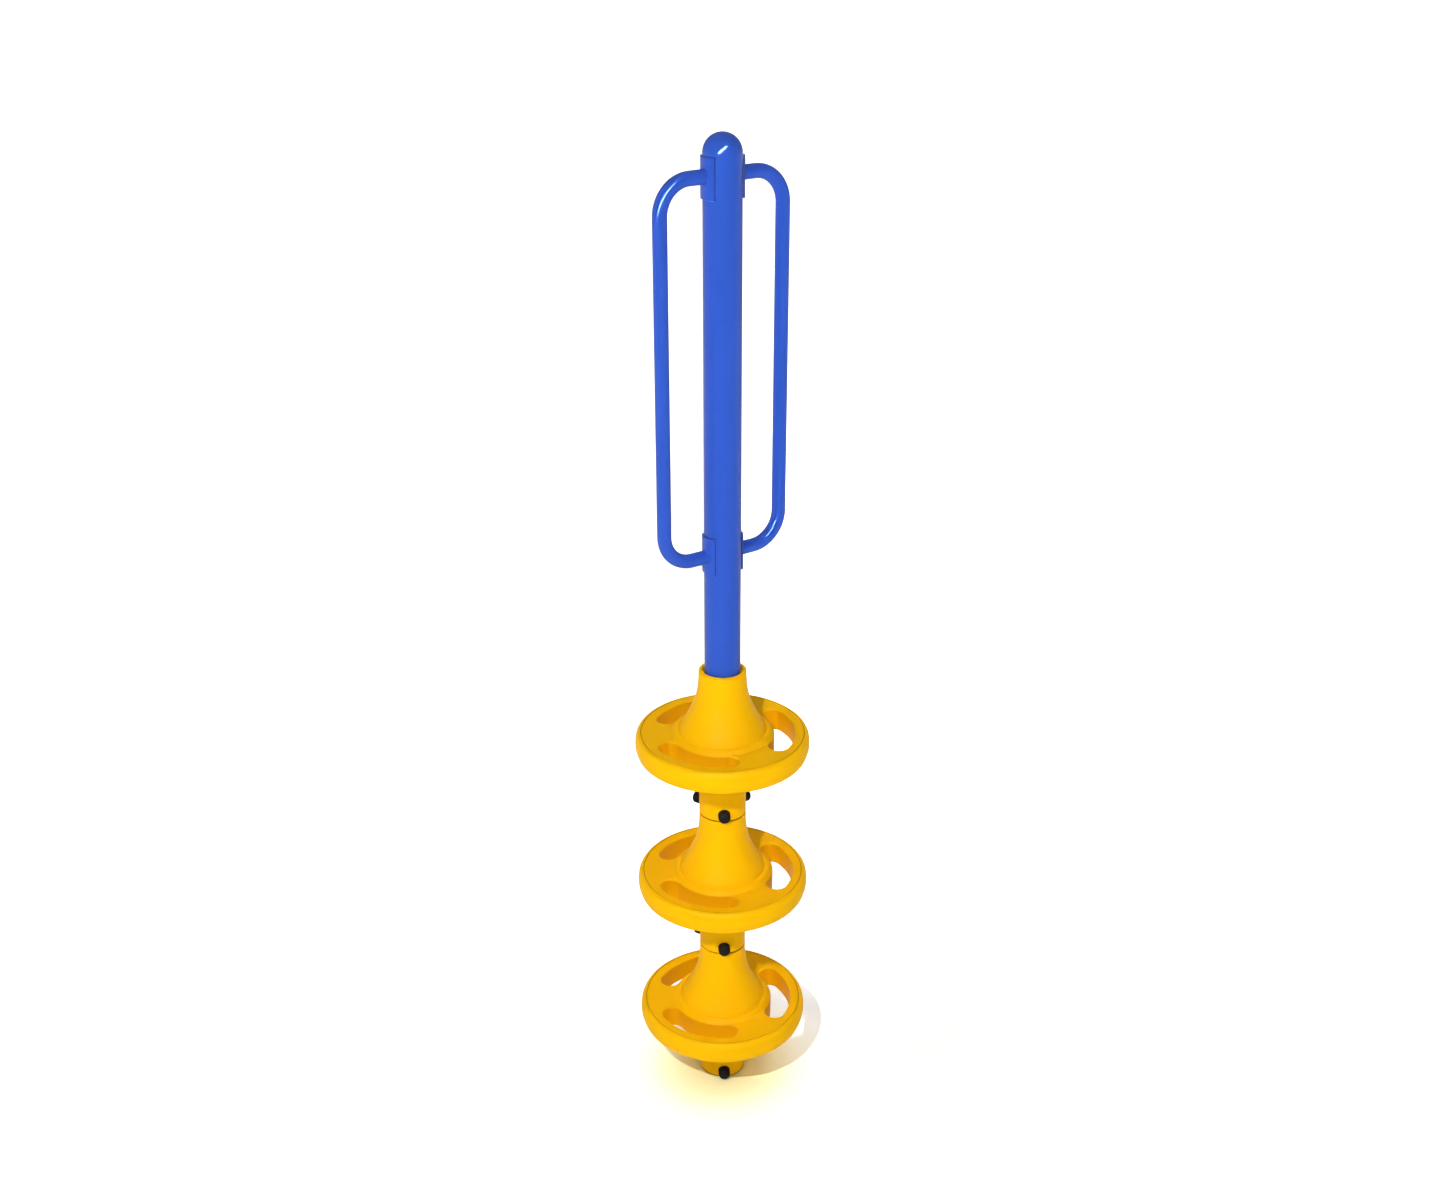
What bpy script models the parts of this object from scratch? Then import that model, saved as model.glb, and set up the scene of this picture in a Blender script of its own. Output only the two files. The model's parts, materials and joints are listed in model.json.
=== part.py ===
"""Playground merry go round: a pole with step pods and two handles, turning on a post set in the ground.

The origin is on the spin axis at ground level, and +Z is up. The handles lie along X.
Everything above the ground turns; only the post, its foot and the spindle stand still.
"""

import math

import bmesh
import bpy
from mathutils import Matrix, Vector

# ---- Driving dimensions, in metres and degrees ----

GAP = 0.0003  # between pieces that touch or are joined
RUNNING_GAP = 0.0005  # between a turning piece and a still one

# Pole and its domed top
POLE_RADIUS = 0.04445
POLE_WALL = 0.004
POLE_BOTTOM = 0.006
POLE_TOP = 2.433
DOME_SPIGOT_LENGTH = 0.015

# Ground post
POST_RADIUS = 0.03015
POST_WALL = 0.0039
POST_DEPTH = 0.600
POST_TOP = 1.150
ANCHOR_SIDE = 0.250
ANCHOR_THICKNESS = 0.012
ANCHOR_HOLE_RADIUS = 0.009
ANCHOR_HOLE_INSET = 0.035

# Upper bearing and spindle
JOURNAL_RADIUS = 0.0175
THREAD_RADIUS = 0.012
THREAD_PROUD = 0.005
NUT_TO_THREAD = 1.7  # the nut's corner radius for its thread radius
BEARING_WIDTH = 0.017
CARRIER_WALL = 0.00415
CARRIER_LIP = 0.008
LIP_SHARE = 0.3  # how much of the outer ring's face the lip leaves clear
SPINDLE_PLUG = 0.060
SPINDLE_FLANGE = 0.010
BALL_COUNT = 9
BALL_SHARE = 0.3  # ball radius, of the room between the rings
LAND_SHARE = 0.55  # ring land from the pitch circle, of the ball radius
CAGE_SHARE = 0.3  # half the cage thickness, of the ball radius
CAGE_HEIGHT_SHARE = 0.6  # half the cage height, of the ball radius
CIRCLIP_THICKNESS = 0.002
CIRCLIP_DEPTH = 0.0017
CIRCLIP_LAND = 0.005
WASHER_THICKNESS = 0.003
NUT_HEIGHT = 0.019

# Lower bush and dust seal
BUSH_LENGTH = 0.060
SEAL_LENGTH = 0.006
SEAL_ABOVE_BOLTS = 0.004

# Step pods
POD_NAMES = ("pod_lower", "pod_middle", "pod_upper")
POD_PITCH = 0.3995
GROUND_GAP = 0.002
POD_WALL = 0.005
NECK_WALL = 0.01425
NECK_HEIGHT = 0.084
FOOT_COLLAR_MARGIN = 0.003
HEAD_COLLAR = 0.012
EDGE_ROUND = 0.0015
DECK_RADIUS = 0.2165
DECK_UNDERSIDE = 0.168
DECK_HEIGHT = 0.2267
RIM_RISE = 0.0042
RIM_WIDTH = 0.0125
RIM_SHOULDER = 0.0031
COLLAR_RADIUS = 0.127
COLLAR_RISE = 0.0105
CREASE_WIDTH = 0.019
FLARE_WIDTH = 0.055
BELL_POWER = 2.35
SLOT_INNER_MARGIN = 0.002
SLOT_OUTER_MARGIN = 0.0365
SLOT_HALF_ANGLE = 31.5
SLOT_ANGLES = (90, 210, 330)

# Pod bolts and their caps
BOLT_RADIUS = 0.005
BOLT_HEAD_RADIUS = 0.009
BOLT_HEAD_HEIGHT = 0.006
BOLT_ANGLES = (0, 120, 240)
CAP_RADIUS = 0.0153
CAP_FOOT = 0.0042
CAP_SHOULDER = 0.0135
CAP_PROUD = 0.0222
POCKET_DEPTH = 0.003

# Handles and their saddle plates
HANDLE_RADIUS = 0.0167
HANDLE_WALL = 0.0032
HANDLE_STANDOFF = 0.11705
HANDLE_BEND = 0.075
HANDLE_DROP = 0.046
HANDLE_RISE = 0.306
SADDLE_THICKNESS = 0.0043
SADDLE_HEIGHT = 0.094
SADDLE_HALF_ANGLE = 37
SADDLE_OFFSET = 0.0035

# Facets round each turned piece, and steps along each curve
TUBE_FACETS = 30
BEARING_FACETS = 24
HANDLE_FACETS = 16
SMALL_FACETS = 10
SADDLE_FACETS = 8
DOME_STEPS = 6
BEND_STEPS = 5
TRACK_STEPS = 3
CAP_STEPS = 3
CUT_PAST = 0.02  # how far a cutter passes the surface it cuts

# ---- Sizes that follow from them ----

POLE_BORE = POLE_RADIUS - POLE_WALL
POST_BORE = POST_RADIUS - POST_WALL

POD_BORE = POLE_RADIUS + GAP
NECK_RADIUS = POD_BORE + NECK_WALL
POD_HEIGHT = POD_PITCH - GAP
POD_COUNT = len(POD_NAMES)
STACK_TOP = GROUND_GAP + POD_COUNT * POD_PITCH
SLOT_INNER = COLLAR_RADIUS + SLOT_INNER_MARGIN
SLOT_OUTER = DECK_RADIUS - SLOT_OUTER_MARGIN
SLOT_RADIUS = 0.5 * (SLOT_INNER + SLOT_OUTER)
SLOT_HALF_WIDTH = 0.5 * (SLOT_OUTER - SLOT_INNER)

BOLT_HEIGHT = CAP_RADIUS + CAP_FOOT
FOOT_COLLAR = BOLT_HEIGHT + CAP_RADIUS + FOOT_COLLAR_MARGIN
POCKET_FLOOR = NECK_RADIUS - POCKET_DEPTH
BOLT_TIP = 0.5 * (POLE_BORE + POST_RADIUS)
CAP_BASE = POCKET_FLOOR + GAP
CAP_TOP = NECK_RADIUS + CAP_PROUD

SEAL_BOTTOM = GROUND_GAP + BOLT_HEIGHT + BOLT_RADIUS + SEAL_ABOVE_BOLTS
BUSH_BOTTOM = SEAL_BOTTOM + SEAL_LENGTH + GAP

CARRIER_OUTER = POLE_BORE - GAP
RACE_OUTER = CARRIER_OUTER - CARRIER_WALL
RACE_INNER = JOURNAL_RADIUS + GAP
PITCH_RADIUS = 0.5 * (RACE_OUTER - GAP + RACE_INNER)
BALL_RADIUS = BALL_SHARE * (RACE_OUTER - GAP - RACE_INNER)
LAND_OFFSET = LAND_SHARE * BALL_RADIUS
CARRIER_TAIL = 2 * GAP + CIRCLIP_THICKNESS + CIRCLIP_LAND
SPINDLE_BASE = POST_TOP + GAP
RACE_SEAT = SPINDLE_BASE + SPINDLE_FLANGE + CARRIER_TAIL + 2 * RUNNING_GAP
RACE_BOTTOM = RACE_SEAT + GAP
RACE_TOP = RACE_BOTTOM + BEARING_WIDTH
WASHER_BOTTOM = RACE_TOP + GAP
NUT_BOTTOM = WASHER_BOTTOM + WASHER_THICKNESS + GAP
NUT_RADIUS = NUT_TO_THREAD * THREAD_RADIUS

SADDLE_INNER = POLE_RADIUS + GAP
SADDLE_OUTER = SADDLE_INNER + SADDLE_THICKNESS
HANDLE_REACH = POLE_RADIUS + HANDLE_STANDOFF
HANDLE_TOP = POLE_TOP - HANDLE_DROP
HANDLE_BOTTOM = STACK_TOP + HANDLE_RISE

MATERIALS = {
    "blue_powder_coat": ((0.035, 0.102, 0.600), 0.30, 0.0),
    "yellow_plastic": ((0.960, 0.490, 0.010), 0.42, 0.0),
    "black_plastic": ((0.020, 0.018, 0.018), 0.40, 0.0),
    "galvanised_steel": ((0.520, 0.540, 0.560), 0.45, 1.0),
    "bearing_steel": ((0.620, 0.620, 0.630), 0.22, 1.0),
    "zinc_fastener": ((0.560, 0.560, 0.540), 0.35, 1.0),
    "bush_plastic": ((0.750, 0.740, 0.690), 0.50, 0.0),
    "seal_rubber": ((0.025, 0.025, 0.027), 0.70, 0.0),
}


# ---- Making and joining shapes ----


def clear_scene():
    for obj in list(bpy.data.objects):
        bpy.data.objects.remove(obj, do_unlink=True)


def material(name):
    found = bpy.data.materials.get(name)
    if found:
        return found
    colour, roughness, metallic = MATERIALS[name]
    made = bpy.data.materials.new(name)
    made.use_nodes = True
    shader = made.node_tree.nodes["Principled BSDF"]
    shader.inputs["Base Color"].default_value = (*colour, 1.0)
    shader.inputs["Roughness"].default_value = roughness
    shader.inputs["Metallic"].default_value = metallic
    made.diffuse_color = (*colour, 1.0)
    return made


def object_from(name, bm, slot=None):
    """A scene object made of bm, which is freed."""
    bmesh.ops.recalc_face_normals(bm, faces=bm.faces)
    mesh = bpy.data.meshes.new(name)
    bm.to_mesh(mesh)
    bm.free()
    mesh.shade_smooth()
    mesh.set_sharp_from_angle(angle=math.radians(40))
    obj = bpy.data.objects.new(name, mesh)
    bpy.context.scene.collection.objects.link(obj)
    if slot:
        mesh.materials.append(material(slot))
    return obj


def turned(section, facets, turn=360.0, closed=True):
    """The (radius, height) section turned about Z; an open section starts and ends on the axis."""
    bm = bmesh.new()
    verts = [bm.verts.new((radius, 0, height)) for radius, height in section]
    ends = list(zip(verts, verts[1:]))
    if closed:
        ends.append((verts[-1], verts[0]))
    for pair in ends:
        bm.edges.new(pair)
    whole = turn == 360.0
    geometry = list(bm.verts) + list(bm.edges)
    if not whole:
        geometry.append(bm.faces.new(verts))
    bmesh.ops.spin(bm, geom=geometry, cent=(0, 0, 0), axis=(0, 0, 1), steps=facets,
                   angle=math.radians(turn), use_merge=whole)
    bmesh.ops.remove_doubles(bm, verts=bm.verts, dist=1e-6)
    return bm


def ring(inner, outer, bottom, top):
    """The section of a plain ring."""
    return [(outer, bottom), (outer, top), (inner, top), (inner, bottom)]


def prism(outline, bottom, top):
    """The (x, y) outline, raised from bottom to top."""
    bm = bmesh.new()
    face = bm.faces.new([bm.verts.new((x, y, bottom)) for x, y in outline])
    raised = bmesh.ops.extrude_face_region(bm, geom=[face])
    moved = [item for item in raised["geom"] if isinstance(item, bmesh.types.BMVert)]
    bmesh.ops.translate(bm, verts=moved, vec=(0, 0, top - bottom))
    return bm


def circle(radius, facets, x=0.0, y=0.0):
    steps = [2 * math.pi * step / facets for step in range(facets)]
    return [(x + radius * math.cos(angle), y + radius * math.sin(angle)) for angle in steps]


def quarter(steps):
    """The angles from 0 to 90 degrees in this many steps."""
    return [math.radians(90 * step / steps) for step in range(steps + 1)]


def merged(*shapes):
    """Several bmesh shapes in one, for a cutter that cuts in several places."""
    whole = bmesh.new()
    for shape in shapes:
        mesh = bpy.data.meshes.new("piece")
        shape.to_mesh(mesh)
        shape.free()
        whole.from_mesh(mesh)
        bpy.data.meshes.remove(mesh)
    return whole


def boolean(target, shape, operation="DIFFERENCE"):
    """Joins shape to target or cuts it away, and keeps only the result."""
    tool = object_from("tool", shape)
    step = target.modifiers.new("step", "BOOLEAN")
    step.operation = operation
    step.solver = "EXACT"
    step.object = tool
    bpy.context.view_layer.update()
    seen = target.evaluated_get(bpy.context.evaluated_depsgraph_get())
    result = bpy.data.meshes.new_from_object(seen)
    target.modifiers.clear()
    spent = target.data
    target.data = result
    bpy.data.meshes.remove(spent)
    bpy.data.objects.remove(tool, do_unlink=True)
    result.name = target.name
    result.shade_smooth()
    result.set_sharp_from_angle(angle=math.radians(40))


def outward(angle, height):
    """Turns a shape made along Z so that it points out from the axis at this angle and height."""
    return (Matrix.Translation((0, 0, height)) @ Matrix.Rotation(math.radians(angle), 4, "Z")
            @ Matrix.Rotation(math.radians(90), 4, "Y"))


def inset_path(path, distance):
    """The path moved to its left by distance, with mitred corners."""
    moved = []
    for index, point in enumerate(path):
        here = Vector(point)
        before = Vector(path[index - 1]) if index else None
        after = Vector(path[index + 1]) if index + 1 < len(path) else None
        normals = []
        for start, end in ((before, here), (here, after)):
            if start is not None and end is not None:
                along = (end - start).normalized()
                normals.append(Vector((-along.y, along.x)))
        mean = sum(normals, Vector((0, 0))).normalized()
        moved.append(tuple(here + mean * (distance / max(mean.dot(normals[0]), 0.5))))
    return moved


# ---- Ground post, spindle and bearing ----


def make_anchor_plate():
    half = 0.5 * ANCHOR_SIDE
    top = -POST_DEPTH
    square = [(half, -half), (half, half), (-half, half), (-half, -half)]
    plate = object_from("anchor_plate", prism(square, top - ANCHOR_THICKNESS, top), "galvanised_steel")
    place = half - ANCHOR_HOLE_INSET
    holes = [prism(circle(ANCHOR_HOLE_RADIUS, SMALL_FACETS, x, y), top - 2 * ANCHOR_THICKNESS,
                   top + ANCHOR_THICKNESS)
             for x in (-place, place) for y in (-place, place)]
    boolean(plate, merged(*holes))


def make_support_post():
    section = ring(POST_BORE, POST_RADIUS, -POST_DEPTH + GAP, POST_TOP)
    object_from("support_post", turned(section, TUBE_FACETS), "galvanised_steel")


def make_spindle():
    plug = POST_BORE - GAP
    flange_top = SPINDLE_BASE + SPINDLE_FLANGE
    shoulder = JOURNAL_RADIUS + 0.5 * (PITCH_RADIUS - LAND_OFFSET - JOURNAL_RADIUS)
    thread_top = NUT_BOTTOM + NUT_HEIGHT + THREAD_PROUD
    section = [
        (0, POST_TOP - SPINDLE_PLUG), (plug, POST_TOP - SPINDLE_PLUG), (plug, SPINDLE_BASE),
        (POST_RADIUS, SPINDLE_BASE), (POST_RADIUS, flange_top), (shoulder, flange_top),
        (shoulder, RACE_SEAT), (JOURNAL_RADIUS, RACE_SEAT), (JOURNAL_RADIUS, RACE_TOP - GAP),
        (THREAD_RADIUS, RACE_TOP - GAP), (THREAD_RADIUS, thread_top), (0, thread_top),
    ]
    object_from("bearing_spindle", turned(section, BEARING_FACETS, closed=False), "bearing_steel")


def groove(side):
    """The ball track's arc in a ring's section: side -1 is the inner ring, and 1 the outer one."""
    track = BALL_RADIUS + GAP
    reach = math.acos(LAND_OFFSET / track)
    middle = 0.5 * (RACE_BOTTOM + RACE_TOP)
    steps = [reach * (step / TRACK_STEPS) for step in range(-TRACK_STEPS, TRACK_STEPS + 1)]
    return [(PITCH_RADIUS + side * track * math.cos(angle), middle + track * math.sin(angle))
            for angle in steps]


def make_bearing():
    inner_land = PITCH_RADIUS - LAND_OFFSET
    outer_land = PITCH_RADIUS + LAND_OFFSET
    inner = [(RACE_INNER, RACE_TOP), (RACE_INNER, RACE_BOTTOM), (inner_land, RACE_BOTTOM)]
    inner += groove(-1) + [(inner_land, RACE_TOP)]
    object_from("bearing_inner_ring", turned(inner, BEARING_FACETS), "bearing_steel")
    rim = RACE_OUTER - GAP
    outer = [(rim, RACE_TOP), (rim, RACE_BOTTOM), (outer_land, RACE_BOTTOM)]
    outer += groove(1) + [(outer_land, RACE_TOP)]
    object_from("bearing_outer_ring", turned(outer, BEARING_FACETS), "bearing_steel")
    middle = 0.5 * (RACE_BOTTOM + RACE_TOP)
    half = CAGE_SHARE * BALL_RADIUS
    rise = CAGE_HEIGHT_SHARE * BALL_RADIUS
    band = ring(PITCH_RADIUS - half, PITCH_RADIUS + half, middle - rise, middle + rise)
    cage = object_from("bearing_ball_cage", turned(band, BEARING_FACETS), "bearing_steel")
    for number in range(BALL_COUNT):
        ball = bmesh.new()
        bmesh.ops.create_uvsphere(ball, u_segments=6, v_segments=5, radius=BALL_RADIUS)
        turn = Matrix.Rotation(2 * math.pi * number / BALL_COUNT, 4, "Z")
        bmesh.ops.transform(ball, matrix=turn @ Matrix.Translation((PITCH_RADIUS, 0, middle)),
                            verts=ball.verts)
        boolean(cage, ball, "UNION")


def make_carrier():
    tail = RACE_BOTTOM - CARRIER_TAIL
    slot_top = RACE_BOTTOM - GAP
    slot_bottom = slot_top - CIRCLIP_THICKNESS - 2 * GAP
    slot_radius = RACE_OUTER + CIRCLIP_DEPTH + GAP
    lip_bottom = RACE_TOP + GAP
    land = PITCH_RADIUS + LAND_OFFSET
    lip_radius = land + LIP_SHARE * (RACE_OUTER - land)
    section = [
        (CARRIER_OUTER, tail), (CARRIER_OUTER, lip_bottom + CARRIER_LIP),
        (lip_radius, lip_bottom + CARRIER_LIP), (lip_radius, lip_bottom), (RACE_OUTER, lip_bottom),
        (RACE_OUTER, slot_top), (slot_radius, slot_top), (slot_radius, slot_bottom),
        (RACE_OUTER, slot_bottom), (RACE_OUTER, tail),
    ]
    object_from("bearing_carrier", turned(section, BEARING_FACETS), "bearing_steel")
    clip = ring(lip_radius, RACE_OUTER + CIRCLIP_DEPTH, slot_bottom + GAP, slot_top - GAP)
    shape = turned(clip, BEARING_FACETS - 2, turn=360.0 * (BEARING_FACETS - 2) / BEARING_FACETS)
    object_from("bearing_retaining_ring", shape, "zinc_fastener")


def make_spindle_fasteners():
    bore = THREAD_RADIUS + GAP
    washer = ring(bore, NUT_RADIUS, WASHER_BOTTOM, WASHER_BOTTOM + WASHER_THICKNESS)
    object_from("spindle_washer", turned(washer, BEARING_FACETS), "zinc_fastener")
    hexagon = prism(circle(NUT_RADIUS, 6), NUT_BOTTOM, NUT_BOTTOM + NUT_HEIGHT)
    nut = object_from("spindle_nut", hexagon, "zinc_fastener")
    through = prism(circle(bore, BEARING_FACETS), NUT_BOTTOM - CUT_PAST, NUT_BOTTOM + NUT_HEIGHT + CUT_PAST)
    boolean(nut, through)


def make_lower_bush():
    inner = POST_RADIUS + RUNNING_GAP
    outer = POLE_BORE - GAP
    bush = ring(inner, outer, BUSH_BOTTOM, BUSH_BOTTOM + BUSH_LENGTH)
    object_from("lower_bush", turned(bush, TUBE_FACETS), "bush_plastic")
    seal = ring(inner, outer, SEAL_BOTTOM, SEAL_BOTTOM + SEAL_LENGTH)
    object_from("dust_seal", turned(seal, TUBE_FACETS), "seal_rubber")


# ---- Pole, dome, handles and saddles ----


def bolt_places():
    for level in range(POD_COUNT):
        for number, angle in enumerate(BOLT_ANGLES):
            yield level, number, outward(angle, GROUND_GAP + level * POD_PITCH + BOLT_HEIGHT)


def make_pole():
    section = ring(POLE_BORE, POLE_RADIUS, POLE_BOTTOM, POLE_TOP)
    pole = object_from("pole_tube", turned(section, TUBE_FACETS), "blue_powder_coat")
    holes = []
    for _, _, place in bolt_places():
        hole = prism(circle(BOLT_RADIUS + GAP, SMALL_FACETS), POLE_BORE - POLE_WALL,
                     POLE_RADIUS + POLE_WALL)
        bmesh.ops.transform(hole, matrix=place, verts=hole.verts)
        holes.append(hole)
    boolean(pole, merged(*holes))


def make_dome():
    base = POLE_TOP + GAP
    spigot = POLE_BORE - GAP
    inside = spigot - POLE_WALL
    steps = quarter(DOME_STEPS)
    section = [(POLE_RADIUS * math.sin(angle), base + POLE_RADIUS * math.cos(angle)) for angle in steps]
    section += [(spigot, base), (spigot, base - DOME_SPIGOT_LENGTH), (inside, base - DOME_SPIGOT_LENGTH)]
    section += [(inside * math.sin(angle), base + inside * math.cos(angle)) for angle in reversed(steps)]
    object_from("pole_dome_cap", turned(section, TUBE_FACETS, closed=False), "blue_powder_coat")


def handle_path(side):
    """Centreline points with their directions, from the top end to the bottom end."""
    start = POLE_RADIUS
    bend_x = HANDLE_REACH - HANDLE_BEND
    points = [((start, HANDLE_TOP), 0.0)]
    for angle in quarter(BEND_STEPS):
        point = (bend_x + HANDLE_BEND * math.sin(angle), HANDLE_TOP - HANDLE_BEND * (1 - math.cos(angle)))
        points.append((point, -angle))
    for angle in quarter(BEND_STEPS):
        point = (bend_x + HANDLE_BEND * math.cos(angle),
                 HANDLE_BOTTOM + HANDLE_BEND * (1 - math.sin(angle)))
        points.append((point, -math.pi / 2 - angle))
    points.append(((start, HANDLE_BOTTOM), -math.pi))
    return [(Vector((side * x, 0, z)), Vector((side * math.cos(turn), 0, math.sin(turn))))
            for (x, z), turn in points]


def swept(path, radius, facets):
    """A round bar of this radius along the path, closed by flat ends."""
    bm = bmesh.new()
    rings = []
    across = Vector((0, 1, 0))
    for centre, along in path:
        up = along.cross(across)
        steps = [2 * math.pi * step / facets for step in range(facets)]
        rings.append([bm.verts.new(centre + radius * (math.cos(angle) * across + math.sin(angle) * up))
                      for angle in steps])
    for first, second in zip(rings, rings[1:]):
        for step in range(facets):
            after = (step + 1) % facets
            bm.faces.new((first[step], first[after], second[after], second[step]))
    bm.faces.new(rings[0])
    bm.faces.new(rings[-1])
    return bm


def make_handle(name, side):
    path = handle_path(side)
    handle = object_from(name, swept(path, HANDLE_RADIUS, HANDLE_FACETS), "blue_powder_coat")
    inside = list(path)
    for end in (0, -1):
        centre, along = inside[end]
        inside[end] = (Vector((0, 0, centre.z)), along)
    boolean(handle, swept(inside, HANDLE_RADIUS - HANDLE_WALL, SMALL_FACETS))
    cope = turned([(0, 0), (SADDLE_OUTER + GAP, 0), (SADDLE_OUTER + GAP, POLE_TOP), (0, POLE_TOP)],
                  2 * TUBE_FACETS, closed=False)
    boolean(handle, cope)
    return handle


def make_saddle(name, side, height):
    middle = 0.0 if side > 0 else 180.0
    section = ring(SADDLE_INNER, SADDLE_OUTER, height - 0.5 * SADDLE_HEIGHT, height + 0.5 * SADDLE_HEIGHT)
    plate = turned(section, SADDLE_FACETS, turn=2.0 * SADDLE_HALF_ANGLE)
    spin = Matrix.Rotation(math.radians(middle - SADDLE_HALF_ANGLE), 4, "Z")
    bmesh.ops.transform(plate, matrix=spin, verts=plate.verts)
    return object_from(name, plate, "blue_powder_coat")


# ---- Pods, bolts and caps ----


def flare(steps):
    """The quarter ellipse from the neck out to the flat underside."""
    reach = FLARE_WIDTH
    rise = DECK_UNDERSIDE - NECK_HEIGHT
    return [(NECK_RADIUS + reach * (1 - math.cos(angle)), NECK_HEIGHT + rise * math.sin(angle))
            for angle in quarter(steps)]


def bell(steps):
    """The hub's hollow curve from the raised collar's crease up towards the neck's radius."""
    crease = COLLAR_RADIUS - CREASE_WIDTH
    foot = DECK_HEIGHT + COLLAR_RISE
    shares = [1 - step / (steps + 1.0) for step in range(steps + 1)]
    return [(NECK_RADIUS + (crease - NECK_RADIUS) * share ** BELL_POWER,
             POD_HEIGHT - (POD_HEIGHT - foot) * share) for share in shares]


def outer_line():
    """The pod's outer (radius, height) line from its foot to its head."""
    middle = 0.5 * (DECK_UNDERSIDE + DECK_HEIGHT)
    lip = DECK_RADIUS - RIM_WIDTH
    shoulder = DECK_RADIUS - RIM_SHOULDER
    rim = [
        (lip, DECK_UNDERSIDE), (shoulder, DECK_UNDERSIDE + RIM_WIDTH), (DECK_RADIUS, middle),
        (shoulder, DECK_HEIGHT - 2 * RIM_SHOULDER), (lip + EDGE_ROUND, DECK_HEIGHT + RIM_RISE),
        (lip, DECK_HEIGHT),
    ]
    foot = [(NECK_RADIUS - EDGE_ROUND, 0), (NECK_RADIUS, EDGE_ROUND)]
    head = [(NECK_RADIUS, POD_HEIGHT - EDGE_ROUND), (NECK_RADIUS - EDGE_ROUND, POD_HEIGHT)]
    return foot + flare(3) + rim + [(COLLAR_RADIUS, DECK_HEIGHT)] + bell(5) + head


def inner_line():
    """The line of the pod's hollow from its foot to its head, one wall inside a plainer outer line."""
    middle = 0.5 * (DECK_UNDERSIDE + DECK_HEIGHT)
    rim = [(DECK_RADIUS - RIM_WIDTH, DECK_UNDERSIDE), (DECK_RADIUS, middle),
           (DECK_RADIUS - RIM_WIDTH, DECK_HEIGHT)]
    plain = [(NECK_RADIUS, FOOT_COLLAR)] + flare(2) + rim + [(COLLAR_RADIUS, DECK_HEIGHT)] + bell(3)
    plain.append((NECK_RADIUS, POD_HEIGHT - HEAD_COLLAR))
    return inset_path(plain, POD_WALL)


def slot_outline(angle, half_width):
    """A slot that bends round the axis, with round ends."""
    middle = math.radians(angle)
    reach = math.radians(SLOT_HALF_ANGLE)
    points = []
    for way, radius in ((1, SLOT_RADIUS + half_width), (-1, SLOT_RADIUS - half_width)):
        for step in range(5):
            turn = middle + way * reach * (0.5 * step - 1)
            points.append((radius * math.cos(turn), radius * math.sin(turn)))
        end = middle + way * reach
        for step in range(1, 4):
            turn = end + math.radians(45 * step + (0 if way > 0 else 180))
            points.append((SLOT_RADIUS * math.cos(end) + half_width * math.cos(turn),
                           SLOT_RADIUS * math.sin(end) + half_width * math.sin(turn)))
    return points


def make_pod():
    """One pod, standing on the ground plane: a hollow shell, open only to the pole."""
    inside = [(POD_BORE, FOOT_COLLAR)] + inner_line() + [(POD_BORE, POD_HEIGHT - HEAD_COLLAR)]
    section = [(POD_BORE, 0)] + outer_line() + [(POD_BORE, POD_HEIGHT)] + inside[::-1]
    pod = object_from("pod", turned(section, TUBE_FACETS), "yellow_plastic")
    half_wall = 0.5 * POD_WALL
    for angle in SLOT_ANGLES:
        sleeve = prism(slot_outline(angle, SLOT_HALF_WIDTH + POD_WALL), DECK_UNDERSIDE + half_wall,
                       DECK_HEIGHT - half_wall)
        boolean(pod, sleeve, "UNION")
    for angle in SLOT_ANGLES:
        boolean(pod, prism(slot_outline(angle, SLOT_HALF_WIDTH), DECK_UNDERSIDE - CUT_PAST,
                           DECK_HEIGHT + CUT_PAST))
    cuts = []
    for angle in BOLT_ANGLES:
        pocket = prism(circle(CAP_RADIUS + GAP, 2 * SMALL_FACETS), POCKET_FLOOR, NECK_RADIUS + CAP_RADIUS)
        hole = prism(circle(BOLT_RADIUS + GAP, SMALL_FACETS), POLE_BORE, POCKET_FLOOR + POCKET_DEPTH)
        for shape in (pocket, hole):
            bmesh.ops.transform(shape, matrix=outward(angle, BOLT_HEIGHT), verts=shape.verts)
            cuts.append(shape)
    for shape in cuts:
        boolean(pod, shape)
    return pod


def make_pods():
    first = make_pod()
    pods = []
    for level, name in enumerate(POD_NAMES):
        pod = first if level == 0 else bpy.data.objects.new(name, first.data)
        pod.name = name
        if level:
            bpy.context.scene.collection.objects.link(pod)
        pod.location.z = GROUND_GAP + level * POD_PITCH
        pods.append(pod)
    return pods


def bolt_section():
    return [
        (0, BOLT_TIP), (BOLT_RADIUS, BOLT_TIP), (BOLT_RADIUS, CAP_BASE), (BOLT_HEAD_RADIUS, CAP_BASE),
        (BOLT_HEAD_RADIUS, CAP_BASE + BOLT_HEAD_HEIGHT), (0, CAP_BASE + BOLT_HEAD_HEIGHT),
    ]


def cap_section():
    """A domed cap, hollow behind for the bolt head."""
    shoulder = CAP_BASE + CAP_SHOULDER
    hollow = BOLT_HEAD_RADIUS + 2 * GAP
    floor = CAP_BASE + BOLT_HEAD_HEIGHT + 2 * GAP
    section = [(0, floor), (hollow, floor), (hollow, CAP_BASE), (CAP_RADIUS, CAP_BASE)]
    for angle in quarter(CAP_STEPS):
        section.append((CAP_RADIUS * math.cos(angle), shoulder + (CAP_TOP - shoulder) * math.sin(angle)))
    return section


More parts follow.
